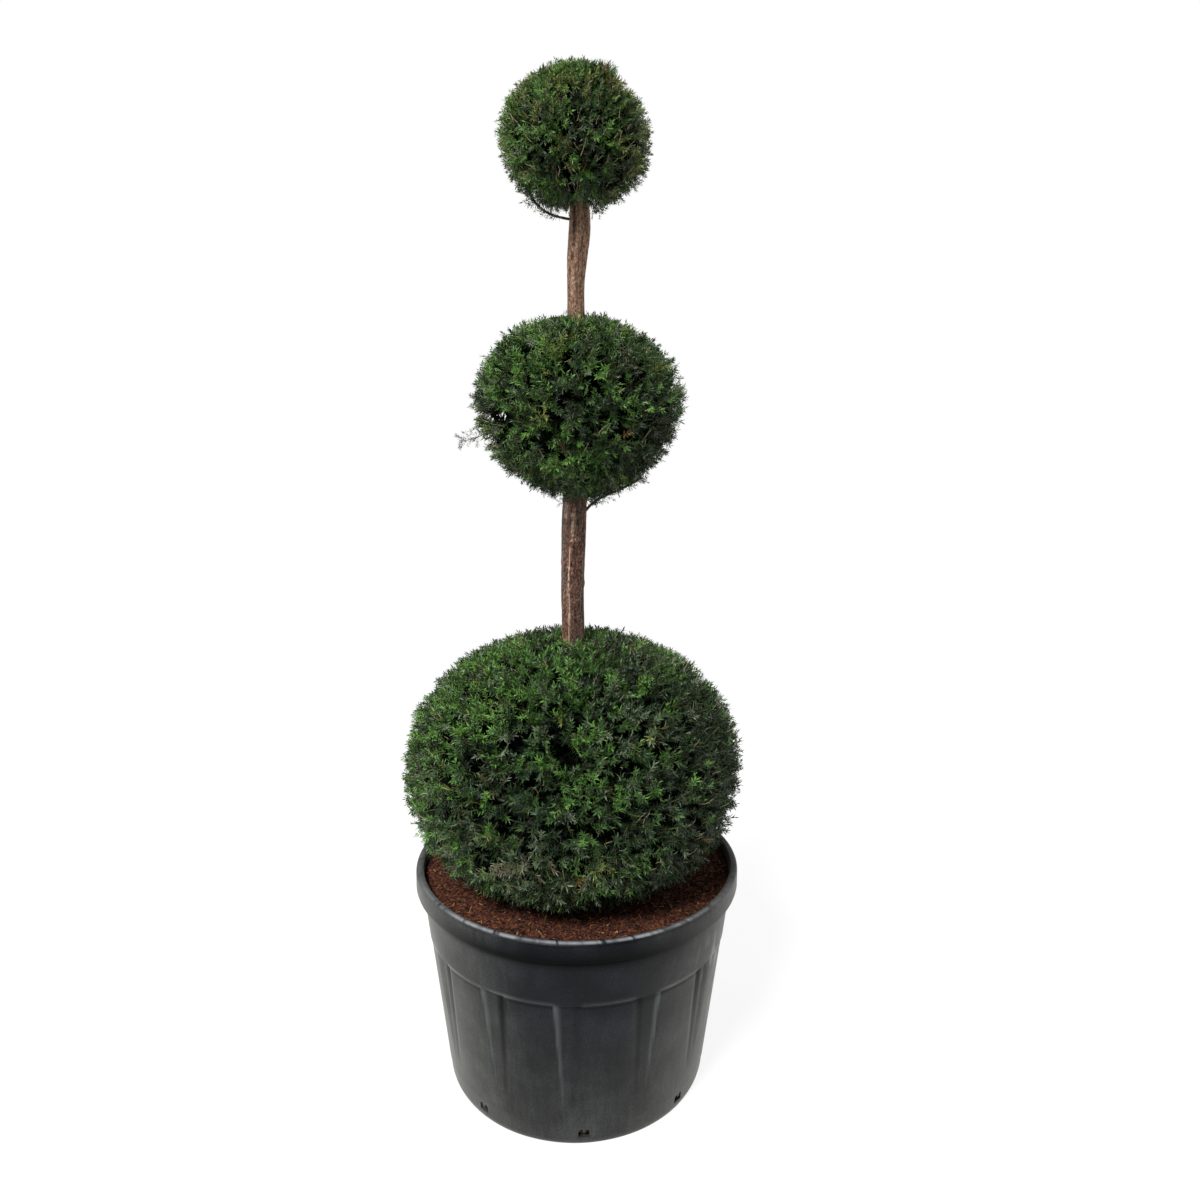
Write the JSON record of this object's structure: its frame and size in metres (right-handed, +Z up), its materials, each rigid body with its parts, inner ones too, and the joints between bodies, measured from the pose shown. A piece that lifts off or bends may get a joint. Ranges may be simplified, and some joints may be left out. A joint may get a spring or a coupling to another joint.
{
  "type": "potted yew ball topiary",
  "caption": "Yew trained on one bare stem and clipped into stacked balls that shrink upwards, standing in a round, lipped, panel-walled nursery container filled with bark mulch.",
  "frame": {"origin": "centre of the container's flat underside, where it stands on the ground", "axes": "+Z up along the stem, -Y the front that is seen, +X to the right of that view"},
  "size_m": [0.7916, 0.7961, 2.3308],
  "materials": {
    "pot_plastic": "charcoal moulded polypropylene, satin, weathered grey on its sides",
    "bark_mulch": "damp shredded red-brown bark and fibre",
    "bark": "thin flaking red-brown bark with tan strips and grey patches",
    "needles": "dark green narrow needles with fresher yellow-green tips"
  },
  "bodies": {
    "root": {"pot": "pot_plastic", "soil": "bark_mulch", "trunk": "bark", "bough_middle_right": "bark", "bough_top_left": "bark", "foliage_bottom": "needles", "foliage_middle": "needles", "foliage_top": "needles"}
  },
  "joints": []
}
